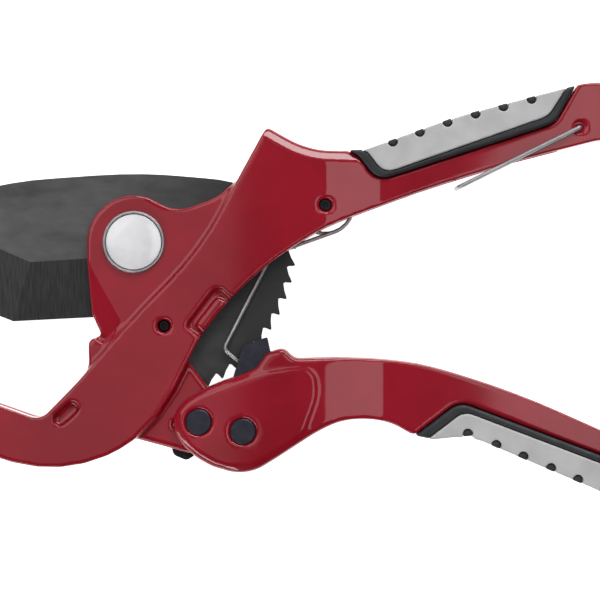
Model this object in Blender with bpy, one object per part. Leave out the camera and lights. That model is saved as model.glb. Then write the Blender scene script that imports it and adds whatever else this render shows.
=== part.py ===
"""Ratcheting cutter for plastic pipe, lying on its side.

All drawing coordinates are millimetres from the blade pivot, in the middle plane of the
tool: x towards the handles, y towards the upper handle, z out of the flat side.
"""
import bpy
import bmesh
from math import atan2, ceil, cos, degrees, hypot, pi, radians, sin, tan
from mathutils import Matrix, Vector

MM = 0.001
GAP = 0.3                       # clearance between pieces that touch

# Where the blade pivot stands from the middle of the tool's footprint
PIVOT_X = -76.47
PIVOT_Y = 27.38

# Half thicknesses, from the middle plane
BAND_H = 12.0                   # hook, band and grips: what the tool lies on
STRIP_H = 9.6                   # castings beside the grips
CHEEK_H = 11.2                  # lower handle around its raised plate
EYE_H = 7.0                     # ears around the blade pivot
LUG_H = 6.5                     # lug that carries the lower handle
FORK_H = 7.0                    # inside of the lower handle's fork
CORE_H = 5.0                    # cores under the grips
POCKET_H = 6.3                  # spring pocket
SLOT_H = 2.2                    # blade slot
BLADE_H = 1.5

# Joint axes
BLADE_AXIS = (0.0, 0.0)
HANDLE_AXIS = (29.8, -82.1)
PAWL_AXIS = (50.0, -86.4)
HOLD_AXIS = (19.6, -83.4)
SPRING_AXIS = (87.6, 16.8)
BAIL_AXIS = (203.6, 52.3)

# Rack on the blade
TIP_R = 74.5
ROOT_R = 70.9
TOOTH_PITCH = 6.12              # degrees
FIRST_TOOTH = -2.2
TOOTH_COUNT = 13
SLOT_R = 76.0                   # slot that clears the rack
REACH_R = 103.5                 # slot that clears the blade's point

POCKET_DEPTH = 2.6              # pocket at the band's edge
PAD_DROP = 0.7                  # its raised pad, below the band's face

# Thickness along x: (x, half thickness); the castings get thinner beside the grips
FRAME_THICKNESS = [(-120.0, 14.0), (68.0, 14.0), (112.0, STRIP_H), (250.0, STRIP_H)]
HANDLE_THICKNESS = [(0.0, 14.0), (86.0, 14.0), (86.0, CHEEK_H + 0.02), (114.0, STRIP_H), (290.0, STRIP_H)]
DEEP = 20.0                     # half depth of a cutter that goes right through

RED = (0.25, 0.012, 0.025)
BLACK_STEEL = (0.025, 0.025, 0.027)
BLUED_STEEL = (0.030, 0.034, 0.045)
SPRING_STEEL = (0.55, 0.53, 0.52)
ZINC = (0.45, 0.45, 0.46)
BRONZE = (0.42, 0.25, 0.10)
GREY_GRIP = (0.38, 0.38, 0.38)
BLACK_GRIP = (0.020, 0.022, 0.026)
WHITE = (0.80, 0.80, 0.82)


# ---------------------------------------------------------------- outlines

def arc(centre, radius, start, end, step=12.0):
    """Points on an arc, angles in degrees, both ends included."""
    count = max(1, ceil(abs(end - start) / step))
    angles = [radians(start + (end - start) * i / count) for i in range(count + 1)]
    return [(centre[0] + radius * cos(a), centre[1] + radius * sin(a)) for a in angles]


def circle(centre, radius, count=24):
    return arc(centre, radius, 0.0, 360.0, 360.0 / count)[:-1]


def fillet(before, corner, after, radius, step):
    """The arc that rounds one corner of an outline."""
    here = Vector(corner)
    back = Vector(before) - here
    ahead = Vector(after) - here
    turn = pi - back.angle(ahead)
    if radius <= 0.0 or turn < 0.02:
        return [corner]
    reach = min(radius * tan(turn / 2), 0.48 * back.length, 0.48 * ahead.length)
    radius = reach / tan(turn / 2)
    start = here + back.normalized() * reach
    end = here + ahead.normalized() * reach
    middle = here + (back.normalized() + ahead.normalized()).normalized() * hypot(reach, radius)
    first = atan2(start.y - middle.y, start.x - middle.x)
    last = atan2(end.y - middle.y, end.x - middle.x)
    sweep = (last - first + pi) % (2 * pi) - pi
    return arc(middle, radius, degrees(first), degrees(first + sweep), step)


def rounded(corners, step=15.0):
    """A closed outline from corners (x, y) or (x, y, fillet radius)."""
    points = []
    for i, corner in enumerate(corners):
        before = corners[i - 1][:2]
        after = corners[(i + 1) % len(corners)][:2]
        radius = corner[2] if len(corner) > 2 else 0.0
        points += fillet(before, corner[:2], after, radius, step)
    return points


def smooth(knots, steps=3):
    """An open curve through the knots."""
    knots = [Vector(k) for k in knots]
    spans = [(b - a).length for a, b in zip(knots, knots[1:])]
    slopes = [(knots[1] - knots[0]) / spans[0]]
    for i in range(1, len(knots) - 1):
        before = (knots[i] - knots[i - 1]) / spans[i - 1]
        after = (knots[i + 1] - knots[i]) / spans[i]
        weight = spans[i - 1] / (spans[i - 1] + spans[i])
        slopes.append(before * (1 - weight) + after * weight)
    slopes.append((knots[-1] - knots[-2]) / spans[-1])
    points = []
    for i, span in enumerate(spans):
        for k in range(steps):
            t = k / steps
            a = 2 * t ** 3 - 3 * t ** 2 + 1
            b = t ** 3 - 2 * t ** 2 + t
            c = 3 * t ** 2 - 2 * t ** 3
            d = t ** 3 - t ** 2
            p = a * knots[i] + b * span * slopes[i] + c * knots[i + 1] + d * span * slopes[i + 1]
            points.append((p.x, p.y))
    return points + [tuple(knots[-1])]


def grown(outline, distance):
    """The closed outline moved outwards by a distance."""
    area = sum(a[0] * b[1] - b[0] * a[1] for a, b in zip(outline, outline[1:] + outline[:1]))
    side = 1.0 if area > 0 else -1.0
    points = []
    for i, here in enumerate(outline):
        before = (Vector(here) - Vector(outline[i - 1])).normalized()
        after = (Vector(outline[(i + 1) % len(outline)]) - Vector(here)).normalized()
        normal = Vector((before.y + after.y, -before.x - after.x)).normalized() * side
        lean = max(0.5, normal.dot(Vector((before.y, -before.x)) * side))
        shift = normal * (distance / lean)
        points.append((here[0] + shift.x, here[1] + shift.y))
    return points


# ---------------------------------------------------------------- solids

def clear_scene():
    for thing in list(bpy.data.objects):
        bpy.data.objects.remove(thing, do_unlink=True)


def add_axis(name, place, parent, parent_place):
    """An empty that a moving piece turns about."""
    axis = bpy.data.objects.new(name, None)
    bpy.context.collection.objects.link(axis)
    axis.empty_display_size = 0.01
    axis.parent = parent
    axis.location = ((place[0] - parent_place[0]) * MM, (place[1] - parent_place[1]) * MM, 0.0)
    return axis


def add_axes():
    """The tool's root at mid thickness, and one empty for each joint."""
    root = bpy.data.objects.new("tool", None)
    bpy.context.collection.objects.link(root)
    root.location = (PIVOT_X * MM, PIVOT_Y * MM, BAND_H * MM)
    axes = {"root": (root, (0.0, 0.0))}
    for name, place, parent in (
            ("blade_axis", BLADE_AXIS, "root"),
            ("handle_axis", HANDLE_AXIS, "root"),
            ("hold_pawl_axis", HOLD_AXIS, "root"),
            ("spring_axis", SPRING_AXIS, "root"),
            ("bail_axis", BAIL_AXIS, "root"),
            ("drive_pawl_axis", PAWL_AXIS, "handle_axis")):
        parent_axis, parent_place = axes[parent]
        axes[name] = (add_axis(name, place, parent_axis, parent_place), place)
    return axes


def add_object(name, bm, axis):
    """Turns a bmesh drawn in tool coordinates into an object on its axis."""
    empty, place = AXES[axis]
    bmesh.ops.recalc_face_normals(bm, faces=bm.faces)
    bm.transform(Matrix.Scale(MM, 4) @ Matrix.Translation((-place[0], -place[1], 0.0)))
    mesh = bpy.data.meshes.new(name)
    bm.to_mesh(mesh)
    bm.free()
    thing = bpy.data.objects.new(name, mesh)
    bpy.context.collection.objects.link(thing)
    thing.parent = empty
    return thing


def plate_mesh(outline, low, high):
    bm = bmesh.new()
    face = bm.faces.new([bm.verts.new((x, y, low)) for x, y in outline])
    top = bmesh.ops.extrude_face_region(bm, geom=[face])
    lifted = [v for v in top["geom"] if isinstance(v, bmesh.types.BMVert)]
    bmesh.ops.translate(bm, verts=lifted, vec=(0.0, 0.0, high - low))
    return bm


def plate(name, outline, low, high, axis="root"):
    """A flat plate with the given outline, between two heights."""
    return add_object(name, plate_mesh(outline, low, high), axis)


def turned(name, centre, profile, axis="root", count=28):
    """A turned piece on an upright axis, from a closed profile of (radius, height)."""
    bm = bmesh.new()
    rings = []
    for i in range(count):
        a = 2 * pi * i / count
        ring = [bm.verts.new((centre[0] + r * cos(a), centre[1] + r * sin(a), z)) for r, z in profile]
        rings.append(ring)
    for i, ring in enumerate(rings):
        after = rings[(i + 1) % count]
        for k in range(len(profile)):
            n = (k + 1) % len(profile)
            if profile[k][0] > 0.0 or profile[n][0] > 0.0:
                bm.faces.new((ring[k], ring[n], after[n], after[k]))
    bmesh.ops.remove_doubles(bm, verts=bm.verts, dist=1e-4)
    return add_object(name, bm, axis)


def wire(name, path, radius, axis="root", sides=8):
    """A wire of round section along a path of (x, y, z) points, with flat ends."""
    bm = bmesh.new()
    path = [Vector(p) for p in path]
    rings = []
    side = None
    for i, here in enumerate(path):
        ahead = (path[min(i + 1, len(path) - 1)] - path[max(i - 1, 0)]).normalized()
        if side is None:
            side = ahead.orthogonal().normalized()
        side = (side - ahead * side.dot(ahead)).normalized()
        other = ahead.cross(side)
        turns = [2 * pi * k / sides for k in range(sides)]
        rings.append([bm.verts.new(here + (side * cos(t) + other * sin(t)) * radius) for t in turns])
    for a, b in zip(rings, rings[1:]):
        for k in range(sides):
            bm.faces.new((a[k], a[(k + 1) % sides], b[(k + 1) % sides], b[k]))
    bm.faces.new(rings[0][::-1])
    bm.faces.new(rings[-1])
    return add_object(name, bm, axis)


def bevelled(thing, width, segments=1, angle=40.0):
    """Rounds the sharp edges of a piece."""
    bevel = thing.modifiers.new("edge", "BEVEL")
    bevel.width = width * MM
    bevel.segments = segments
    bevel.limit_method = "ANGLE"
    bevel.angle_limit = radians(angle)
    bevel.use_clamp_overlap = True
    return thing


def combine(thing, tool, operation):
    """A boolean of two pieces; the tool becomes a hidden helper."""
    boolean = thing.modifiers.new(operation.lower(), "BOOLEAN")
    boolean.operation = operation
    boolean.solver = "EXACT"
    boolean.object = tool
    tool.hide_render = True
    tool.display_type = "WIRE"


def cut(thing, *tools):
    for tool in tools:
        combine(thing, tool, "DIFFERENCE")


def join(thing, *tools):
    for tool in tools:
        combine(thing, tool, "UNION")


def both_sides(make, name, low, high):
    """Two mirrored helpers, one on each side of the middle plane."""
    return make(name + "_front", low, high), make(name + "_back", -high, -low)


def finish(thing, colour, roughness, metallic=0.0, sharp=35.0):
    """Material and smooth shading."""
    material = bpy.data.materials.new(thing.name)
    material.use_nodes = True
    shader = material.node_tree.nodes["Principled BSDF"]
    shader.inputs["Base Color"].default_value = (*colour, 1.0)
    shader.inputs["Roughness"].default_value = roughness
    shader.inputs["Metallic"].default_value = metallic
    thing.data.materials.append(material)
    thing.data.shade_smooth()
    thing.data.set_sharp_from_angle(angle=radians(sharp))
    return thing


def side_profile(name, stations, axis="root"):
    """A helper that is thick or thin along x, from (x, half thickness) stations."""
    bm = bmesh.new()
    outline = [(x, h) for x, h in stations] + [(x, -h) for x, h in reversed(stations)]
    face = bm.faces.new([bm.verts.new((x, -200.0, z)) for x, z in outline])
    far = bmesh.ops.extrude_face_region(bm, geom=[face])
    moved = [v for v in far["geom"] if isinstance(v, bmesh.types.BMVert)]
    bmesh.ops.translate(bm, verts=moved, vec=(0.0, 400.0, 0.0))
    return add_object(name, bm, axis)


def surface_height(stations, x, full):
    """Half thickness of a casting at x."""
    for (a, start), (b, end) in zip(stations, stations[1:]):
        if a <= x < b:
            return min(full, start + (end - start) * (x - a) / (b - a))
    return full


def edge_slopes(name, slopes, stations, full, axis="root"):
    """Wedges, on both sides, that slope a casting's edge down along lines that keep it on their right.

    slopes holds (line, width, drop) for each edge.
    """
    bm = bmesh.new()
    over = 1.0
    for line, width, drop in slopes:
        for side in (1.0, -1.0):
            rows = []
            for i, here in enumerate(line):
                ahead = (Vector(line[min(i + 1, len(line) - 1)]) - Vector(line[max(i - 1, 0)])).normalized()
                inward = Vector((ahead.y, -ahead.x))
                inner = Vector(here) + inward * (width + over)
                outer = Vector(here) - inward * over
                top = surface_height(stations, here[0] + inward.x * width, full)
                high = top + drop * over / width
                low = top - drop * (width + over) / width
                section = [(outer, low), (inner, high), (inner, full + 2.0), (outer, full + 2.0)]
                rows.append([bm.verts.new((*point, side * z)) for point, z in section])
            for a, b in zip(rows, rows[1:]):
                for k in range(4):
                    bm.faces.new((a[k], a[(k + 1) % 4], b[(k + 1) % 4], b[k]))
            bm.faces.new(rows[0][::-1])
            bm.faces.new(rows[-1])
    bmesh.ops.triangulate(bm, faces=bm.faces)
    return add_object(name, bm, axis)


# ---------------------------------------------------------------- shared outlines

UPPER_SILHOUETTE = [(201.8, 71.4), (147.1, 57.0, 150.0), (106.0, 42.2, 8.0)]
UPPER_LINER = [(98.2, 41.9), (102.6, 39.2, 6.0), (111.4, 27.9, 8.5), (192.0, 54.0, 9.0)]
UPPER_PAD = [(104.2, 41.9), (107.0, 40.8, 4.0), (114.3, 31.2, 7.0), (189.0, 57.3, 9.0), (197.3, 70.2)]
UPPER_CORE = [(108.0, 29.0), (110.5, 36.5, 2.0), (147.0, 50.0), (189.5, 61.0, 2.0), (193.5, 51.0),
              (150.0, 36.0)]
UPPER_RIBS = [117.9, 130.2, 142.8, 155.6, 168.3, 181.1]

LOWER_SILHOUETTE = [(232.5, -122.0), (153.0, -88.3, 25.0), (136.5, -90.0, 8.0)]
LOWER_LINER = [(128.5, -88.3), (148.6, -73.0, 9.0), (225.5, -102.0, 9.0)]
LOWER_PAD = [(134.4, -89.8), (150.7, -77.3, 7.0), (223.0, -104.8, 9.0), (228.3, -120.2)]
LOWER_CORE = [(146.0, -74.0), (143.0, -82.5, 2.0), (154.0, -83.0), (222.5, -112.0, 2.0), (227.0, -100.0),
              (180.0, -82.0)]
LOWER_RIBS = [152.5, 165.0, 177.3, 189.9, 202.2, 214.5]


def liner_edge(liner, silhouette):
    """The edge of a handle that a liner lies against."""
    closed = rounded([silhouette[-1][:2]] + liner + [silhouette[0][:2]])
    return grown(closed, GAP)[1:-1]


def edge_height(silhouette, x):
    """Height and slope of the grip's outer edge at x."""
    knots = sorted(corner[:2] for corner in silhouette)
    for a, b in zip(knots, knots[1:]):
        if a[0] <= x <= b[0]:
            slope = (b[1] - a[1]) / (b[0] - a[0])
            return a[1] + slope * (x - a[0]), slope
    raise ValueError("outside the grip")


# ---------------------------------------------------------------- body casting

def band_outline():
    """Hook, band and upper handle, as seen from the side."""
    cradle = rounded([(-101.5, -58.0), (-94.5, -54.5, 3.0), (-78.0, -68.5, 25.0), (-42.4, -81.1, 7.0),
                      (-25.6, -64.0, 1.0), (-5.6, -41.0)])[1:-1]
    step_edge = smooth([(-5.6, -41.0), (8.0, -26.5), (22.4, -11.5), (35.2, 5.8), (46.2, 26.3),
                        (57.5, 47.0)])
    horn = rounded([(57.5, 47.0), (60.7, 52.8, 2.2), (66.5, 49.4)])[1:-1]
    saddle = smooth([(66.5, 49.4), (75.0, 45.0), (84.0, 42.3), (98.0, 41.6)])
    seat = liner_edge(UPPER_LINER, UPPER_SILHOUETTE)
    head = rounded([(202.6, 71.9), (209.0, 72.8, 10.0), (229.5, 72.8, 13.0), (233.0, 46.0, 9.0),
                    (214.0, 46.8, 30.0), (190.0, 41.2)])[:-1]
    underside = smooth([(174.4, 36.8), (152.5, 30.0), (130.7, 23.0), (112.0, 16.2), (97.9, 10.9),
                        (86.9, 6.2), (74.4, -1.2), (58.6, -12.7), (44.7, -25.8), (30.5, -43.6),
                        (18.6, -67.3), (0.7, -90.0), (-12.0, -97.5), (-33.3, -102.7),
                        (-55.2, -100.4), (-75.0, -92.5), (-90.0, -81.0)], 2)
    nose = rounded([(-90.0, -81.0), (-103.0, -66.0, 9.0), (-94.5, -54.5)])[1:-1]
    return cradle + step_edge + horn + saddle + seat + head + underside + nose


def ear_outline():
    """The ears around the blade pivot, with the fin down to the cradle."""
    top = arc((0.0, 0.0), 21.5, 176.0, 72.0)
    neck = rounded([top[-1], (19.5, 13.8, 22.0), (38.0, 20.5, 20.0), (47.0, 28.5), (52.0, 20.0)])[1:-1]
    inside = [(52.0, 20.0), (20.0, -35.0), (-8.0, -66.0)]
    fin = rounded([(-26.5, -65.0), (-20.6, -58.5, 14.0), (-20.9, -45.0, 3.0), (-14.0, -41.8),
                   (-15.4, -42.0), (-19.6, -33.0, 6.0), (-21.5, -8.0)])[1:]
    return top + neck + inside + fin


def lug_outline():
    return rounded([(1.0, -90.0), (28.0, -97.4, 8.0), (39.5, -91.5, 6.0), (40.7, -80.0, 6.0),
                    (33.5, -65.4, 4.0), (25.0, -54.3), (18.0, -58.0), (2.0, -76.0)])


def ear_facet(name, low, high):
    """Wedge that slopes the lower left of an ear down towards the blade."""
    sign = 1.0 if high > 0 else -1.0
    bm = bmesh.new()
    ridge = [(-21.5, -8.0), (-5.2, -37.2)]
    rim = [(-28.0, -36.0), (-14.0, -46.5)]
    floor = [(*ridge[0], EYE_H + 0.01), (*ridge[1], EYE_H + 0.01), (*rim[1], 3.6), (*rim[0], 1.5)]
    face = bm.faces.new([bm.verts.new((x, y, sign * z)) for x, y, z in floor])
    up = bmesh.ops.extrude_face_region(bm, geom=[face])
    lifted = [v for v in up["geom"] if isinstance(v, bmesh.types.BMVert)]
    bmesh.ops.translate(bm, verts=lifted, vec=(0.0, 0.0, sign * 14.0))
    return add_object(name, bm, "root")


def slot_tools():
    """Slot for the blade: a disc for its rack and hub, and a sector for its point."""
    disc = plate("slot_disc", circle((0.0, 0.0), SLOT_R, 72), -SLOT_H, SLOT_H)
    sector = [(0.0, 0.0)] + arc((0.0, 0.0), REACH_R, 178.0, 252.0, 5.0)
    return disc, plate("slot_sector", sector, -SLOT_H, SLOT_H)


def slanted_groove(name, low, high):
    outline = rounded([(-23.6, -75.7, 2.9), (-27.6, -71.5, 2.9), (-37.5, -80.4, 2.9), (-33.4, -84.8, 2.9)])
    return plate(name, outline, low, high)


def edge_pocket(name, low, high):
    """Pocket open at the band's edge, with a raised pad left standing in it."""
    outline = rounded([(23.8, -38.4, 2.0), (36.6, -21.6, 2.0), (40.4, -20.8, 1.0), (52.0, -32.0),
                       (36.0, -48.0)])
    pad = rounded([(28.4, -37.7, 1.2), (38.2, -25.3, 1.0), (42.5, -27.5, 1.0), (56.0, -44.0),
                   (42.0, -52.0)])
    tool = plate(name, outline, low, high)
    sign = 1.0 if high > 0 else -1.0
    ends = sorted((0.0, sign * (BAND_H - PAD_DROP)))
    cut(tool, plate(name + "_pad", pad, *ends))
    return tool


def recess_tools():
    """The groove near the hook and the pocket at the band's edge, on both sides."""
    top = BAND_H + 2.0
    return (*both_sides(slanted_groove, "groove", BAND_H - 3.0, top),
            *both_sides(edge_pocket, "pocket", BAND_H - POCKET_DEPTH, top))


def bore(name, centre, radius, low, high, axis="root", count=24):
    return plate(name, circle(centre, radius, count), low, high, axis)


def stepped_bore(name, centre, steps, sink=0.0, axis="root", count=24):
    """A hole right through, from the back: (radius, height where it ends), and a countersink."""
    deep = 15.0
    profile = [(0.0, -deep), (steps[0][0], -deep)]
    for (radius, end), (following, _) in zip(steps, steps[1:]):
        profile += [(radius, end), (following, end)]
    last = steps[-1][0]
    if sink:
        profile += [(last, BAND_H - sink), (last + sink, BAND_H), (last + sink, deep)]
    else:
        profile += [(last, deep)]
    return turned(name, centre, profile + [(0.0, deep)], axis, count)


def main_frame():
    frame = plate("main_frame", band_outline(), -BAND_H, BAND_H)
    combine(frame, side_profile("frame_thickness", FRAME_THICKNESS), "INTERSECT")
    ears = bevelled(plate("ears", ear_outline(), -EYE_H, EYE_H), 1.4, 2)
    cut(ears, *both_sides(ear_facet, "facet", 3.0, 14.0))
    lug = bevelled(plate("lug", lug_outline(), -LUG_H, LUG_H), 0.8)
    core = plate("upper_core", rounded(UPPER_CORE), -CORE_H, CORE_H)
    join(frame, ears, lug, core)
    spring_pocket = rounded([(50.0, -24.0), (57.5, -5.5, 4.0), (70.0, 8.0, 6.0), (73.2, 25.0, 8.0),
                             (82.0, 33.0, 8.0), (96.0, 32.0, 8.0), (108.0, 22.5, 8.0), (190.0, 48.3, 4.0),
                             (196.0, 40.0), (196.0, 20.0), (90.0, -20.0)])
    cut(frame, plate("spring_pocket", spring_pocket, -POCKET_H, POCKET_H))
    hold_slot = [(12.5, -106.0), (12.5, -80.0), (16.0, -66.0), (36.0, -56.0), (38.0, -70.0),
                 (33.5, -77.0), (27.0, -80.0), (26.0, -88.0), (29.5, -95.0), (31.5, -106.0)]
    cut(frame, plate("hold_slot", hold_slot, -3.4, 3.4))
    cut(frame, *slot_tools())
    cut(frame, *recess_tools())
    pivot_steps = [(6.3, -3.0), (13.0, 3.0), (6.3, 4.4), (10.3, 15.0)]
    cut(frame, stepped_bore("pivot_bore", BLADE_AXIS, pivot_steps, count=32),
        bore("handle_bore", HANDLE_AXIS, 4.8, -15.0, 15.0),
        bore("hold_bore", HOLD_AXIS, 1.9, -15.0, 15.0, count=16),
        stepped_bore("bail_bore", BAIL_AXIS, [(3.4, -8.6), (1.3, 8.6), (3.4, 15.0)], count=20),
        stepped_bore("spring_bore", SPRING_AXIS, [(4.0, -8.4), (1.8, 8.4), (3.0, 11.1)], sink=0.9),
        stepped_bore("guide_bore", GUIDE_SCREW, [(2.9, 11.1)], sink=0.9))
    saddle = smooth([(52.0, 57.9), (60.7, 52.8), (66.5, 49.4), (75.0, 45.0), (84.0, 42.3), (98.0, 41.6),
                     (106.0, 41.2)])
    cut(frame, edge_slopes("saddle_slope", [(saddle, 4.6, 2.7)], FRAME_THICKNESS, BAND_H))
    return finish(frame, RED, 0.25)


# ---------------------------------------------------------------- blade

def rack_outline():
    """Ratchet teeth, from the first one down; each pushes on its lower, radial face."""
    shape = [(5.2, ROOT_R), (2.7, ROOT_R + 1.4), (0.9, TIP_R - 0.5), (0.3, TIP_R), (-0.1, TIP_R - 0.5),
             (-0.4, ROOT_R + 0.8)]
    points = []
    for k in range(TOOTH_COUNT):
        tip = FIRST_TOOTH - k * TOOTH_PITCH
        for turn, radius in shape:
            a = radians(tip + turn)
            points.append((radius * cos(a), radius * sin(a)))
    return points


def grinding_tool(name, divide, corner, shoulders, ends, side):
    """Two ground flats that meet along a ridge, from the divide at full thickness to the edge."""
    divide, corner = Vector(divide), Vector(corner)
    beyond = divide + (corner - divide) * 1.3
    edge_z = 0.2

    def height(point, shoulder):
        along = (Vector(shoulder) - divide).normalized()
        normal = Vector((-along.y, along.x))
        share = (Vector(point) - divide).dot(normal) / (corner - divide).dot(normal)
        return side * (BLADE_H - share * (BLADE_H - edge_z))

    bm = bmesh.new()
    ridge = [bm.verts.new((*p, height(p, shoulders[0]))) for p in (divide, beyond)]
    for shoulder, end in zip(shoulders, ends):
        far = [bm.verts.new((*p, height(p, shoulder))) for p in (end, shoulder)]
        bm.faces.new(ridge + far)
    up = bmesh.ops.extrude_face_region(bm, geom=bm.faces[:])
    for v in up["geom"]:
        if isinstance(v, bmesh.types.BMVert):
            v.co.z = side * 5.0
    return add_object(name, bm, "blade_axis")


def blade():
    back = smooth([(-99.5, -17.5), (-101.2, -8.0), (-97.5, 4.7), (-88.5, 15.5), (-75.6, 22.4),
                   (-56.3, 27.2), (-28.7, 30.0), (4.4, 31.4), (26.5, 30.0), (44.9, 27.6), (60.0, 21.0),
                   (70.5, 9.5)])
    heel = rounded([(12.5, -68.0), (5.0, -45.0, 20.0), (-6.0, -33.8, 4.0), (-19.5, -34.4)])[:-1]
    edge = [(-19.5, -34.4), (-55.8, -36.3), (-97.7, -20.2)]
    outline = back + rack_outline() + heel + edge
    piece = plate("blade", outline, -BLADE_H, BLADE_H, "blade_axis")
    cut(piece, bore("blade_bore", BLADE_AXIS, 9.3, -5.0, 5.0, "blade_axis", 32))
    shoulders = [(-12.0, -6.7), (-110.0, 17.9)]
    ends = [(-12.0, -46.0), (-125.0, -34.0)]
    for side, label in ((1.0, "front"), (-1.0, "back")):
        cut(piece, grinding_tool("grind_" + label, (-48.0, -9.1), (-55.8, -36.3), shoulders, ends, side))
    return finish(piece, BLACK_STEEL, 0.4, 0.8, 20.0)


# ---------------------------------------------------------------- pivot hardware

GUIDE_SCREW = (14.0, -38.3)


def ring(name, centre, inner, outer, low, high, axis="root", count=28):
    return turned(name, centre, [(inner, low), (outer, low), (outer, high), (inner, high)], axis, count)


def hexagon(centre, across_flats):
    return arc(centre, across_flats / 2 / cos(radians(30.0)), 0.0, 300.0, 60.0)


def pivot_hardware():
    finish(ring("blade_bush", BLADE_AXIS, 6.3, 9.0, -1.6, 1.6, "blade_axis", 32), BRONZE, 0.35, 0.9)
    finish(ring("thrust_washer_front", BLADE_AXIS, 6.3, 12.6, 1.9, 2.7, count=32), BRONZE, 0.35, 0.9)
    finish(ring("thrust_washer_rear", BLADE_AXIS, 6.3, 12.6, -2.7, -1.9, count=32), BRONZE, 0.35, 0.9)
    profile = [(0.0, -11.7), (5.4, -11.7), (6.0, -11.1), (6.0, 4.7), (10.0, 4.7), (10.0, 6.2), (9.2, 6.9),
               (0.0, 6.9)]
    finish(turned("pivot_bolt", BLADE_AXIS, profile, count=32), BLUED_STEEL, 0.35, 0.8)
    finish(ring("pivot_washer", BLADE_AXIS, 6.3, 11.5, -8.5, -7.3), ZINC, 0.35, 0.9)
    nut = bevelled(plate("pivot_nut", hexagon(BLADE_AXIS, 18.0), -11.6, -8.8), 0.4, 1, 70.0)
    cut(nut, bore("nut_thread", BLADE_AXIS, 6.3, -15.0, 0.0, count=32))
    finish(nut, ZINC, 0.35, 0.9)


def badge():
    rim = turned("badge_ring", BLADE_AXIS, [(13.0, 7.3), (14.2, 7.3), (14.2, 8.2), (13.8, 8.8), (13.3, 8.8),
                                            (13.0, 8.2)], count=40)
    finish(rim, SPRING_STEEL, 0.2, 1.0)
    dome = [(0.0, 7.3), (12.7, 7.3), (12.7, 8.1), (12.2, 8.5), (9.0, 8.95), (5.0, 9.25), (0.0, 9.35)]
    finish(turned("badge_cap", BLADE_AXIS, dome, count=40), WHITE, 0.2)


def socket_screw(name, centre, profile, socket_floor, sign=1.0, socket=2.5):
    """A small screw with a hexagon socket; its profile is for the front side."""
    screw = turned(name, centre, [(r, z * sign) for r, z in profile], count=20)
    floor, top = sorted((socket_floor * sign, 14.0 * sign))
    cut(screw, plate(name + "_socket", hexagon(centre, socket), floor, top))
    return finish(screw, BLUED_STEEL, 0.4, 0.8)


def small_screws():
    grub = [(0.0, 2.7), (1.8, 2.7), (2.6, 3.5), (2.6, 8.2), (2.1, 8.6), (0.0, 8.6)]
    socket_screw("guide_screw_front", GUIDE_SCREW, grub, 6.4)
    socket_screw("guide_screw_rear", GUIDE_SCREW, grub, 6.4, -1.0)
    long_screw = [(0.0, -11.0), (1.5, -11.0), (1.5, 8.7), (2.7, 8.7), (2.7, 10.0), (2.4, 10.3), (0.0, 10.3)]
    socket_screw("spring_screw", SPRING_AXIS, long_screw, 9.2)
    nut = plate("spring_screw_nut", hexagon(SPRING_AXIS, 6.2), -11.2, -8.8)
    cut(nut, bore("spring_nut_thread", SPRING_AXIS, 1.8, -15.0, 0.0, count=16))
    finish(nut, ZINC, 0.35, 0.9)
    finish(ring("spring_bush", SPRING_AXIS, 1.8, 6.0, -5.9, 5.9), BLACK_GRIP, 0.5)


# ---------------------------------------------------------------- springs, bail

COIL_R = 12.8
SPRING_WIRE = 0.95
LEG_Z = 3.0


def return_spring():
    """Torsion spring round its sleeve; the long leg reaches into the drive pawl."""
    cx, cy = SPRING_AXIS
    turns, pitch, start = 3.4, 2.15, 289.7
    leg = rounded([(48.9, -55.8), (41.0, -49.0, 3.0), (62.9, -5.6, 4.0), (91.9, 4.8)], 22.0)
    path = [(x, y, LEG_Z) for x, y in leg[:-1]]
    count = round(turns * 26)
    for i in range(count + 1):
        a = radians(start + 360.0 * turns * i / count)
        path.append((cx + COIL_R * cos(a), cy + COIL_R * sin(a), LEG_Z - pitch * turns * i / count))
    last = Vector(path[-1]) - Vector(path[-2])
    path.append(tuple(Vector(path[-1]) + Vector((last.x, last.y, 0.0)).normalized() * 5.0))
    return finish(wire("return_spring", path, SPRING_WIRE, "spring_axis"), SPRING_STEEL, 0.3, 1.0, 60.0)


def hold_pawl_spring():
    """Small coil round the holding pawl's pin, beside the pawl."""
    cx, cy = HOLD_AXIS
    path = []
    for i in range(33):
        a = radians(200.0 + 360.0 * 1.6 * i / 32)
        path.append((cx + 2.6 * cos(a), cy + 2.6 * sin(a), 2.35 + 0.62 * i / 32))
    return finish(wire("hold_pawl_spring", path, 0.19, sides=6), SPRING_STEEL, 0.3, 1.0, 60.0)


def lock_bail():
    """Wire bail that straddles the upper handle and swings down over the lower one."""
    px, py = BAIL_AXIS
    bx, by = 148.4, 25.0
    side_z = 11.0
    ahead = Vector((bx - px, by - py)).normalized()
    near = [(0.0, 6.0), (0.0, side_z - 1.2), (0.35, side_z - 0.35), (1.2, side_z)]
    far = [(2.2, side_z), (0.65, side_z - 0.65), (0.0, side_z - 2.2)]
    half = [(px + ahead.x * run, py + ahead.y * run, z) for run, z in near]
    half += [(bx - ahead.x * run, by - ahead.y * run, z) for run, z in far]
    path = half + [(x, y, -z) for x, y, z in reversed(half)]
    return finish(wire("lock_bail", path, 0.95, "bail_axis"), SPRING_STEEL, 0.3, 1.0, 60.0)


# ---------------------------------------------------------------- grips

def crossing(a, b, c, d):
    """Where the line through a and b meets the line through c and d."""
    first = Vector(b[:2]) - Vector(a[:2])
    second = Vector(d) - Vector(c)
    share = (Vector(c) - Vector(a[:2])).cross(second) / first.cross(second)
    return tuple(Vector(a[:2]) + first * share)


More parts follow.
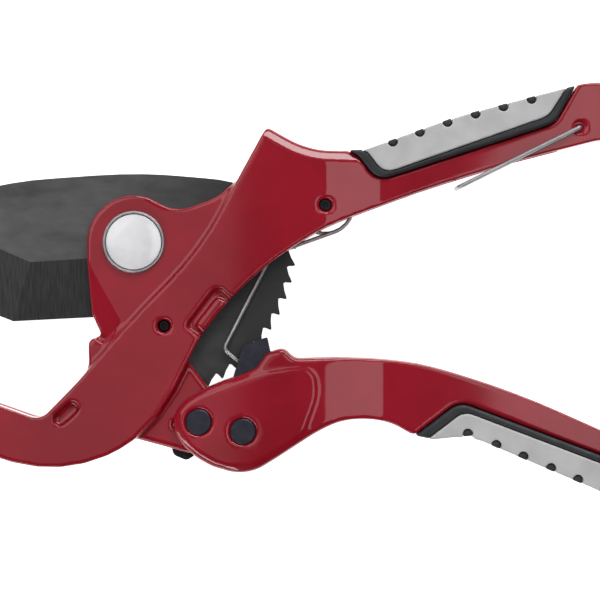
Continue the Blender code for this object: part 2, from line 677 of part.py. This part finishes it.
def under_skin(pad_line, silhouette, depth):
    """The pad's outline with its outer edge moved in by a depth along y."""
    edge = [(corner[0], corner[1] - depth) for corner in silhouette]
    near = crossing(pad_line[-4], pad_line[-3], edge[-1], edge[-2])
    far = crossing(pad_line[-2], pad_line[-1], edge[0], edge[1])
    return rounded([near, pad_line[-3], pad_line[-2], far, (*edge[1], silhouette[1][2])])


def rib_outline(silhouette, x, outer, extra=0.0):
    """Cross rib: a D with its flat side on the grip's outer edge."""
    y, slope = edge_height(silhouette, x)
    lean = atan2(slope, 1.0)
    half = 2.1 + extra
    local = [(half, outer * 0.15)] + [(half * cos(a), outer * (-0.9 - half * sin(a)))
                                       for a in (radians(30.0 * k) for k in range(7))]
    local += [(-half, outer * 0.15)]
    if extra:
        local[0] = (half, outer * 4.0)
        local[-1] = (-half, outer * 4.0)
    return [(x + u * cos(lean) - v * sin(lean), y + u * sin(lean) + v * cos(lean)) for u, v in local]


def grip(label, liner_line, pad_line, silhouette, core, ribs, outer, axis):
    """Black liner on the handle's core and grey pad over the liner, with cross ribs between."""
    full = rounded(liner_line + silhouette)
    pad = rounded(pad_line + silhouette[1:])
    wall_z = 8.3
    shell = 2.2

    liner = bevelled(plate(label + "_grip_liner", full, -BAND_H + 0.5, BAND_H - 0.5, axis), 1.2, 2)
    cut(liner, plate(label + "_pad_seat", grown(pad, GAP), -DEEP, DEEP, axis))
    block = grown(under_skin(pad_line, silhouette, (shell + GAP + 0.8) * outer), 0.8)
    join(liner, plate(label + "_inner", block, GAP - wall_z, wall_z - GAP, axis))
    for i, x in enumerate(ribs):
        rib = rib_outline(silhouette, x, outer)
        join(liner, plate(f"{label}_rib_{i}", rib, -BAND_H + 0.6, BAND_H - 0.6, axis))
    cut(liner, plate(label + "_core_seat", grown(rounded(core), GAP), -CORE_H - GAP, CORE_H + GAP, axis))
    finish(liner, BLACK_GRIP, 0.5)

    cover = bevelled(plate(label + "_grip_pad", pad, -BAND_H, BAND_H, axis), 2.6, 3)
    hollow = grown(under_skin(pad_line, silhouette, (shell + 0.5) * outer), 0.5)
    cut(cover, plate(label + "_hollow", hollow, -wall_z, wall_z, axis))
    for i, x in enumerate(ribs):
        notch = rib_outline(silhouette, x, outer, GAP)
        cut(cover, plate(f"{label}_notch_{i}", notch, -DEEP, DEEP, axis))
    finish(cover, GREY_GRIP, 0.45)


# ---------------------------------------------------------------- lower handle

def lower_outline():
    cheek = smooth([(36.0, -102.5), (28.6, -98.2), (22.0, -92.0), (18.5, -85.5), (18.8, -78.5),
                    (22.9, -72.7), (30.0, -68.2), (40.8, -63.4), (50.0, -60.2), (56.0, -57.3)], 3)
    bump = rounded([(56.0, -57.3), (60.5, -50.6, 5.0), (68.6, -48.2, 4.0), (73.6, -53.2, 4.0),
                    (92.0, -52.7)])[1:-1]
    back = smooth([(92.0, -52.7), (108.8, -53.2), (130.7, -55.7), (152.5, -61.6), (185.3, -73.4),
                   (207.2, -83.0), (240.0, -97.6)])
    head = rounded([(240.0, -97.6), (257.0, -105.4, 9.0), (246.0, -130.4, 10.0), (233.0, -122.6)])[1:]
    seat = liner_edge(LOWER_LINER, LOWER_SILHOUETTE)
    belly = smooth([(126.2, -87.4), (118.0, -83.0), (106.0, -80.8), (94.2, -82.1), (84.9, -86.2),
                    (73.7, -93.2), (62.8, -100.2), (56.2, -103.9), (48.0, -105.3), (36.0, -102.5)])
    return cheek + bump + back + head + seat[::-1] + belly[:-1]


def raised_plate_outline():
    """Raised plate around the two pins, ending in a curve across the handle."""
    return rounded([(20.9, -85.0, 8.0), (20.9, -77.0, 6.0), (28.0, -71.3, 20.0), (60.0, -58.6, 90.0),
                    (82.0, -57.0, 9.0), (84.2, -69.0, 20.0), (77.8, -86.8, 5.0), (54.5, -102.6, 12.0),
                    (40.0, -102.5, 20.0), (26.5, -94.5, 12.0)])


def fork_outline():
    """Space between the cheeks, open towards the body; it clears the lug, rack and pawl."""
    return [(0.0, -120.0), (34.0, -120.0), (38.0, -101.3), (56.0, -100.2), (74.0, -89.3), (86.0, -80.0),
            (92.0, -70.0), (95.0, -61.0), (104.0, -48.0), (104.0, -30.0), (0.0, -30.0)]


def lower_handle():
    handle = bevelled(plate("lower_handle", lower_outline(), -CHEEK_H, CHEEK_H, "handle_axis"), 2.0, 3)
    combine(handle, side_profile("handle_thickness", HANDLE_THICKNESS, "handle_axis"), "INTERSECT")
    plate_part = plate("raised_plate", raised_plate_outline(), -BAND_H, BAND_H, "handle_axis")
    plate_part = bevelled(plate_part, 0.7, 2)
    core = plate("lower_core", rounded(LOWER_CORE), -CORE_H, CORE_H, "handle_axis")
    join(handle, plate_part, core)
    channel = rounded([(100.0, -40.0), (100.0, -63.5, 3.0), (124.0, -63.7, 30.0), (152.0, -69.6, 60.0),
                       (218.0, -96.2, 3.0), (222.0, -85.0), (240.0, -60.0)])
    cut(handle, plate("fork", fork_outline(), -FORK_H, FORK_H, "handle_axis"),
        plate("handle_channel", channel, -5.5, 5.5, "handle_axis"))
    head_bore = [(6.3, -10.3), (4.8, 10.3), (6.3, 15.0)]
    cut(handle, stepped_bore("handle_pin_bore", HANDLE_AXIS, head_bore, axis="handle_axis", count=28),
        stepped_bore("pawl_pin_bore", PAWL_AXIS, head_bore, axis="handle_axis", count=28))
    return finish(handle, RED, 0.25)


def handle_pin(name, place):
    """Headed pin through both cheeks, held by a clip in its groove."""
    profile = [(0.0, -11.8), (4.0, -11.8), (4.5, -11.4), (4.5, -11.2), (3.7, -11.2), (3.7, -10.8),
               (4.5, -10.8), (4.5, 10.6), (5.9, 10.6), (5.9, 11.5), (5.4, 11.9), (0.0, 11.9)]
    finish(turned(name, place, profile, "handle_axis"), BLUED_STEEL, 0.45, 0.6)


def retaining_clip(name, place):
    """Open spring ring in the pin's groove."""
    opening = 28.0
    outline = arc(place, 6.0, opening, 360.0 - opening) + arc(place, 4.0, 360.0 - opening, opening)
    finish(plate(name, outline, -11.12, -10.88, "handle_axis"), BLUED_STEEL, 0.4, 0.8)


# ---------------------------------------------------------------- pawls

def drive_pawl():
    """Folded channel: two side plates that straddle the rack, and a web whose top edge drives it."""
    side = rounded([(46.2, -59.0, 2.0), (50.2, -47.0, 1.5), (60.9, -43.6, 0.6), (62.9, -52.5, 2.0),
                    (62.6, -70.0, 12.0), (58.6, -86.4, 6.0), (54.0, -94.9, 7.0), (45.0, -94.7, 7.0),
                    (41.5, -86.0, 7.0), (43.0, -70.0, 10.0)])
    web = [(60.9, -44.4), (62.9, -52.5), (62.9, -68.0), (61.1, -68.0), (61.1, -53.0), (59.4, -46.7)]
    pawl = plate("drive_pawl", side, 4.4, 6.2, "drive_pawl_axis")
    join(pawl, plate("pawl_side_back", side, -6.2, -4.4, "drive_pawl_axis"),
         plate("pawl_web", web, -6.2, 6.2, "drive_pawl_axis"))
    cut(pawl, bore("pawl_bore", PAWL_AXIS, 4.8, -10.0, 10.0, "drive_pawl_axis"))
    return finish(pawl, BLUED_STEEL, 0.4, 0.7)


def hold_pawl():
    """Lever in the lug: its nose stops the rack from slipping back, its tail releases it."""
    outline = rounded([(28.9, -69.3, 0.4), (30.2, -72.1, 1.0), (23.8, -79.5, 3.0), (24.2, -88.0, 3.0),
                       (28.0, -97.6, 2.0), (24.0, -100.2, 3.0), (17.9, -97.6, 3.0), (15.4, -87.5, 4.0),
                       (15.2, -79.5, 4.0), (23.5, -72.6, 3.0)])
    pawl = plate("hold_pawl", outline, -1.8, 1.8, "hold_pawl_axis")
    cut(pawl, bore("hold_pawl_bore", HOLD_AXIS, 1.9, -5.0, 5.0, "hold_pawl_axis", 16))
    finish(pawl, BLACK_STEEL, 0.5, 0.5)
    finish(turned("hold_pawl_pin", HOLD_AXIS, [(0.0, -6.3), (1.6, -6.3), (1.6, 6.3), (0.0, 6.3)], count=16),
           BLUED_STEEL, 0.4, 0.8)


clear_scene()
AXES = add_axes()
main_frame()
blade()
pivot_hardware()
badge()
small_screws()
return_spring()
hold_pawl_spring()
lock_bail()
grip("upper", UPPER_LINER, UPPER_PAD, UPPER_SILHOUETTE, UPPER_CORE, UPPER_RIBS, 1.0, "root")
grip("lower", LOWER_LINER, LOWER_PAD, LOWER_SILHOUETTE, LOWER_CORE, LOWER_RIBS, -1.0, "handle_axis")
lower_handle()
handle_pin("handle_pivot_pin", HANDLE_AXIS)
handle_pin("pawl_pin", PAWL_AXIS)
retaining_clip("handle_pivot_clip", HANDLE_AXIS)
retaining_clip("pawl_pin_clip", PAWL_AXIS)
drive_pawl()
finish(ring("pawl_spacer", PAWL_AXIS, 4.8, 6.8, -4.1, 4.1, "drive_pawl_axis"), ZINC, 0.4, 0.8)
hold_pawl()
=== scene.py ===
"""Looks of a ratcheting cutter for plastic pipe, lying on its side and seen from above."""
import math
import bpy
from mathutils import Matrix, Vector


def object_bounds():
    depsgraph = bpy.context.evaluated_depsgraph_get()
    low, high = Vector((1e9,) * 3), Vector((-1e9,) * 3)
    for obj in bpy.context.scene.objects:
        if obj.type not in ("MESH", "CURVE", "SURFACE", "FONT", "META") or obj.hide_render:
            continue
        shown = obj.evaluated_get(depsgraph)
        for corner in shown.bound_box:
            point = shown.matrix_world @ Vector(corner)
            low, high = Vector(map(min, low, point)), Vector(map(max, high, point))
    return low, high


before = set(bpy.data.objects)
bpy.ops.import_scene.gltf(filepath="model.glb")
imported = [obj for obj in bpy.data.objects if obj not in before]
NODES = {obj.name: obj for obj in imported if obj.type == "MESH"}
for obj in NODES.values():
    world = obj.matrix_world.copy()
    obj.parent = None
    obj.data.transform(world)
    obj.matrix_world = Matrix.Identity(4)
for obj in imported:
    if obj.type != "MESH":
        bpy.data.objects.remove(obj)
cad_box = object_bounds()

MIDDLE_Z = sum(corner[2] for corner in cad_box) / 2     # middle plane of the tool
PIVOT_X = -0.075                # about where the blade's pivot and its rack stand
RACK_X = -0.015


# ---------------------------------------------------------------- materials

class Paint:
    """A Principled material with helpers for its procedural detail."""

    def __init__(self, name, colour, roughness, metallic=0.0):
        self.material = bpy.data.materials.new(name)
        self.material.use_nodes = True
        self.nodes = self.material.node_tree.nodes
        self.links = self.material.node_tree.links
        self.shader = self.nodes["Principled BSDF"]
        self.set("Base Color", (*colour, 1.0))
        self.set("Roughness", roughness)
        self.set("Metallic", metallic)
        self.place = self.nodes.new("ShaderNodeTexCoord").outputs["Object"]
        self.height = None

    def set(self, socket, value):
        self.shader.inputs[socket].default_value = value

    def stretched(self, scale):
        """Object coordinates stretched by a factor on each axis."""
        mapping = self.nodes.new("ShaderNodeMapping")
        mapping.inputs["Scale"].default_value = scale
        self.links.new(self.place, mapping.inputs["Vector"])
        return mapping.outputs["Vector"]

    def noise(self, scale, detail=3.0, stretch=None):
        """Noise with features about 1 / scale metres wide."""
        noise = self.nodes.new("ShaderNodeTexNoise")
        noise.inputs["Scale"].default_value = scale
        noise.inputs["Detail"].default_value = detail
        self.links.new(self.stretched(stretch) if stretch else self.place, noise.inputs["Vector"])
        return noise.outputs["Fac"]

    def remap(self, value, low, high, out_low, out_high):
        node = self.nodes.new("ShaderNodeMapRange")
        limits = {"From Min": low, "From Max": high, "To Min": out_low, "To Max": out_high}
        for key, number in limits.items():
            node.inputs[key].default_value = number
        self.links.new(value, node.inputs["Value"])
        return node.outputs["Result"]

    def falling(self, value, start, end):
        """The value, fading to zero as x rises from start to end."""
        along = self.nodes.new("ShaderNodeSeparateXYZ")
        self.links.new(self.place, along.inputs["Vector"])
        product = self.nodes.new("ShaderNodeMath")
        product.operation = "MULTIPLY"
        self.links.new(value, product.inputs[0])
        self.links.new(self.remap(along.outputs["X"], start, end, 1.0, 0.0), product.inputs[1])
        return product.outputs["Value"]

    def vary_colour(self, value, dark, light, low=0.35, high=0.65):
        """Base colour that runs from dark to light as the value rises."""
        ramp = self.nodes.new("ShaderNodeValToRGB")
        ramp.color_ramp.elements[0].position = low
        ramp.color_ramp.elements[0].color = (*dark, 1.0)
        ramp.color_ramp.elements[1].position = high
        ramp.color_ramp.elements[1].color = (*light, 1.0)
        self.links.new(value, ramp.inputs["Fac"])
        self.links.new(ramp.outputs["Color"], self.shader.inputs["Base Color"])

    def vary_roughness(self, value, smooth, rough):
        self.links.new(self.remap(value, 0.3, 0.7, smooth, rough), self.shader.inputs["Roughness"])

    def bump(self, value, strength, distance):
        """Adds fine relief, distance metres deep, on top of any relief already there."""
        bump = self.nodes.new("ShaderNodeBump")
        bump.inputs["Strength"].default_value = strength
        bump.inputs["Distance"].default_value = distance
        self.links.new(value, bump.inputs["Height"])
        if self.height:
            self.links.new(self.height, bump.inputs["Normal"])
        self.height = bump.outputs["Normal"]
        self.links.new(self.height, self.shader.inputs["Normal"])


def red_enamel():
    paint = Paint("red_enamel", (0.28, 0.002, 0.013), 0.4)
    paint.set("Specular IOR Level", 0.12)
    paint.set("Coat Weight", 1.0)
    paint.set("Coat Roughness", 0.07)
    paint.vary_colour(paint.noise(28.0, 4.0), (0.25, 0.0012, 0.010), (0.32, 0.0028, 0.016))
    paint.vary_roughness(paint.noise(160.0, 5.0), 0.36, 0.5)
    paint.bump(paint.noise(45.0, 2.0), 0.5, 0.0004)
    paint.bump(paint.noise(420.0, 2.0), 0.12, 0.00006)
    return paint.material


def blade_coating_and_painted_shade():
    """Black oxide over brushed steel, with painted shade that makes it darker from the pivot to the
    rack.
    """
    paint = Paint("blade_coating_and_painted_shade", (0.040, 0.040, 0.041), 0.42, 0.5)
    lines = paint.noise(500.0, 4.0, (0.10, 1.0, 1.0))
    streaks = paint.noise(110.0, 6.0, (0.5, 1.0, 1.0))
    # painted shade: the streaked colour fades to its dark end from the pivot towards the rack
    painted_shade = paint.falling(streaks, PIVOT_X, RACK_X)
    paint.vary_colour(painted_shade, (0.032, 0.032, 0.033), (0.130, 0.130, 0.132), 0.1, 0.75)
    paint.vary_roughness(lines, 0.34, 0.52)
    paint.bump(lines, 0.3, 0.00004)
    return paint.material


def ground_edge(name, dark, light):
    """Black oxide over the grinding marks that run down to the cutting edge."""
    paint = Paint(name, light, 0.42, 0.5)
    marks = paint.noise(1500.0, 3.0, (1.0, 0.06, 1.0))
    paint.vary_colour(marks, dark, light, 0.3, 0.7)
    paint.vary_roughness(marks, 0.36, 0.56)
    paint.bump(marks, 0.4, 0.00004)
    return paint.material


def oiled_steel(name, dark, light):
    paint = Paint(name, light, 0.4, 0.8)
    paint.vary_colour(paint.noise(220.0, 6.0), dark, light)
    paint.vary_roughness(paint.noise(500.0, 4.0), 0.30, 0.5)
    paint.bump(paint.noise(1500.0, 3.0), 0.15, 0.00002)
    return paint.material


def drawn_wire():
    paint = Paint("drawn_wire", (0.46, 0.46, 0.47), 0.4, 0.85)
    paint.vary_colour(paint.noise(150.0, 2.0), (0.40, 0.40, 0.41), (0.52, 0.52, 0.53))
    paint.vary_roughness(paint.noise(300.0, 2.0), 0.34, 0.46)
    return paint.material


def moulded_rubber(name, dark, light):
    paint = Paint(name, light, 0.5)
    paint.vary_colour(paint.noise(90.0, 5.0), dark, light)
    paint.vary_roughness(paint.noise(300.0, 4.0), 0.42, 0.6)
    paint.bump(paint.noise(1800.0, 2.0), 0.25, 0.00005)
    return paint.material


def enamelled_disc():
    paint = Paint("enamelled_disc", (0.80, 0.80, 0.82), 0.2)
    paint.set("Coat Weight", 1.0)
    paint.set("Coat Roughness", 0.04)
    paint.vary_colour(paint.noise(120.0, 3.0), (0.78, 0.78, 0.81), (0.86, 0.86, 0.88))
    return paint.material


def bronze():
    paint = Paint("bronze", (0.42, 0.25, 0.10), 0.35, 0.9)
    paint.vary_colour(paint.noise(300.0, 4.0), (0.34, 0.19, 0.08), (0.48, 0.29, 0.12))
    return paint.material


RED = red_enamel()
BLADE = blade_coating_and_painted_shade()
GROUND = ground_edge("ground_edge", (0.020, 0.020, 0.021), (0.042, 0.042, 0.044))
# a lighter copy of the ground edge: painted light for the facet that faces the point
GROUND_PAINTED_LIGHT = ground_edge("ground_edge_painted_light", (0.030, 0.030, 0.031), (0.058, 0.058, 0.060))
BLUED = oiled_steel("blued_steel", (0.036, 0.036, 0.052), (0.050, 0.050, 0.068))
BLACKENED = oiled_steel("blackened_steel", (0.010, 0.010, 0.012), (0.026, 0.026, 0.028))
ZINC = oiled_steel("zinc_plate", (0.34, 0.34, 0.35), (0.52, 0.52, 0.53))
WIRE = drawn_wire()
GREY = moulded_rubber("grey_rubber", (0.48, 0.48, 0.485), (0.56, 0.56, 0.565))
BLACK = moulded_rubber("black_rubber", (0.012, 0.013, 0.016), (0.024, 0.026, 0.030))
DISC = enamelled_disc()
BRONZE = bronze()

FINISHES = {
    RED: ["main_frame", "lower_handle"],
    BLADE: ["blade"],
    BLACKENED: ["hold_pawl", "guide_screw_front", "guide_screw_rear", "spring_screw"],
    BLUED: ["pivot_bolt", "handle_pivot_pin", "pawl_pin", "handle_pivot_clip", "pawl_pin_clip",
            "drive_pawl"],
    ZINC: ["pivot_washer", "pivot_nut", "spring_screw_nut", "pawl_spacer", "hold_pawl_pin"],
    WIRE: ["return_spring", "hold_pawl_spring", "lock_bail", "badge_ring"],
    GREY: ["upper_grip_pad", "lower_grip_pad"],
    BLACK: ["upper_grip_liner", "lower_grip_liner", "spring_bush"],
    DISC: ["badge_cap"],
    BRONZE: ["blade_bush", "thrust_washer_front", "thrust_washer_rear"],
}


def finish_nodes():
    for material, names in FINISHES.items():
        for name in names:
            slots = NODES[name].material_slots
            for slot in slots:
                slot.material = material
            if not slots:
                NODES[name].data.materials.append(material)


def finish_ground_faces():
    """The blade's faces that lean towards the cutting edge or the point show grinding marks; those
    facing the point get a lighter copy of the same steel as painted light.
    """
    mesh = NODES["blade"].data
    mesh.materials.append(GROUND)
    mesh.materials.append(GROUND_PAINTED_LIGHT)
    for face in mesh.polygons:
        lean = math.hypot(face.normal.x, face.normal.y)
        if 0.02 < lean < 0.3:
            # painted light: facets that face the point take the lighter copy of the same ground steel
            face.material_index = 2 if face.normal.x < 0.4 * face.normal.y else 1


# ---------------------------------------------------------------- edges

WELD_DISTANCE = 0.00001         # corners closer than this are one
FLAT_ANGLE = math.radians(0.6)  # faces that meet flatter than this are one
EDGE_ANGLE = math.radians(25.0) # edges sharper than this are rounded


def add_shading(node):
    """Keeps flat faces flat beside rounded edges."""
    painted_shade = node.modifiers.new("shading", "WEIGHTED_NORMAL")
    painted_shade.mode = "FACE_AREA"
    painted_shade.weight = 60
    painted_shade.keep_sharp = False


def clean_mesh(name):
    """Drops a CAD node's stored shading and joins its faces' corners."""
    node = NODES[name]
    normals = node.data.attributes.get("custom_normal")
    if normals:
        node.data.attributes.remove(normals)
    node.data.shade_smooth()
    weld = node.modifiers.new("weld", "WELD")
    weld.merge_threshold = WELD_DISTANCE
    return node


def soften(name, width):
    """Breaks the sharp edges of a machined CAD node by a width, and smooths its shading."""
    node = clean_mesh(name)
    faces = node.modifiers.new("whole_faces", "DECIMATE")
    faces.decimate_type = "DISSOLVE"
    faces.angle_limit = FLAT_ANGLE
    if width:
        bevel = node.modifiers.new("edge", "BEVEL")
        bevel.width = width
        bevel.segments = 3
        bevel.limit_method = "ANGLE"
        bevel.angle_limit = EDGE_ANGLE
        bevel.use_clamp_overlap = True
    add_shading(node)


EDGE_RADII = {
    0.00015: ["blade", "drive_pawl", "hold_pawl", "pivot_nut"],
    0.0: ["lock_bail", "return_spring", "hold_pawl_spring", "badge_cap"],
    0.0001: ["badge_ring", "guide_screw_front", "guide_screw_rear", "spring_screw", "handle_pivot_pin",
             "pawl_pin", "pivot_bolt", "pivot_washer"],
}


CASTINGS = ["main_frame", "lower_handle"]
MOULDINGS = ["upper_grip_pad", "lower_grip_pad", "upper_grip_liner", "lower_grip_liner"]
KEPT_SHARE = 0.3                # part of the smoothed mesh that is kept


def cast(name, grain, passes):
    """Gives a CAD node the flowing edges and fillets of a casting or a moulding.

    grain is the size of the mesh the shape is smoothed on, and passes how far the edges round.
    """
    node = clean_mesh(name)
    remesh = node.modifiers.new("even_mesh", "REMESH")
    remesh.mode = "VOXEL"
    remesh.voxel_size = grain
    remesh.use_smooth_shade = True
    smooth = node.modifiers.new("round_edges", "SMOOTH")
    smooth.factor = 0.5
    smooth.iterations = passes
    reduce = node.modifiers.new("fewer_faces", "DECIMATE")
    reduce.ratio = KEPT_SHARE
    add_shading(node)


# ---------------------------------------------------------------- stage

VIEW_DISTANCE = 1.05            # metres from the tool's middle plane to the camera
VIEW_WIDTH = 0.276              # metres across the picture at the middle plane
SENSOR = 36.0
FLOOR_SIZE = 8.0
FLOOR_GAP = 0.0002              # keeps the floor just clear of the tool


def add_camera():
    data = bpy.data.cameras.new("camera")
    data.sensor_width = SENSOR
    data.lens = SENSOR * VIEW_DISTANCE / VIEW_WIDTH
    data.clip_end = 20.0
    camera = bpy.data.objects.new("camera", data)
    bpy.context.collection.objects.link(camera)
    camera.location = (-0.0005, 0.0009, MIDDLE_Z + VIEW_DISTANCE)
    bpy.context.scene.camera = camera


def add_floor():
    bpy.ops.mesh.primitive_plane_add(size=FLOOR_SIZE, location=(0.0, 0.0, -FLOOR_GAP))
    floor = bpy.context.object
    floor.name = "floor"
    paint = Paint("floor", (0.93, 0.93, 0.93), 0.9)
    paint.set("Emission Color", (1.0, 1.0, 1.0, 1.0))
    paint.set("Emission Strength", 0.95)
    floor.data.materials.append(paint.material)


def add_light(name, place, width, depth, power, overhead=False):
    """A soft box that faces the tool, or straight down if it is overhead."""
    data = bpy.data.lights.new(name, "AREA")
    data.shape = "RECTANGLE"
    data.size = width
    data.size_y = depth
    data.energy = power
    light = bpy.data.objects.new(name, data)
    bpy.context.collection.objects.link(light)
    light.location = place
    if not overhead:
        light.rotation_euler = (-light.location).to_track_quat("-Z", "Y").to_euler()


def add_world():
    """A white horizon that fades to a dim room overhead."""
    world = bpy.data.worlds.new("studio")
    world.use_nodes = True
    nodes, links = world.node_tree.nodes, world.node_tree.links
    background = nodes["Background"]
    background.inputs["Color"].default_value = (1.0, 1.0, 1.0, 1.0)
    direction = nodes.new("ShaderNodeSeparateXYZ")
    fade = nodes.new("ShaderNodeMapRange")
    limits = {"From Min": 0.08, "From Max": 0.22, "To Min": 0.9, "To Max": 0.05}
    for key, number in limits.items():
        fade.inputs[key].default_value = number
    links.new(nodes.new("ShaderNodeTexCoord").outputs["Generated"], direction.inputs["Vector"])
    links.new(direction.outputs["Z"], fade.inputs["Value"])
    links.new(fade.outputs["Result"], background.inputs["Strength"])
    bpy.context.scene.world = world
    bpy.context.scene.view_settings.view_transform = "Standard"


finish_nodes()
finish_ground_faces()
for width, names in EDGE_RADII.items():
    for name in names:
        soften(name, width)
for name in CASTINGS:
    cast(name, 0.0006, 22)
for name in MOULDINGS:
    cast(name, 0.0005, 3)
add_camera()
add_floor()
add_world()
add_light("top_panel", (0.55, 1.5, 0.95), 1.5, 0.6, 24.0)
add_light("high_left", (-1.1, 0.9, 1.9), 1.8, 1.8, 15.0)
add_light("bottom_strip", (-0.8, -1.1, 0.8), 1.6, 0.3, 10.0)
add_light("overhead_right", (0.80, 0.15, 2.6), 1.0, 1.5, 8.0, True)
add_light("overhead_left", (-0.55, 0.30, 2.6), 0.9, 1.4, 2.2, True)
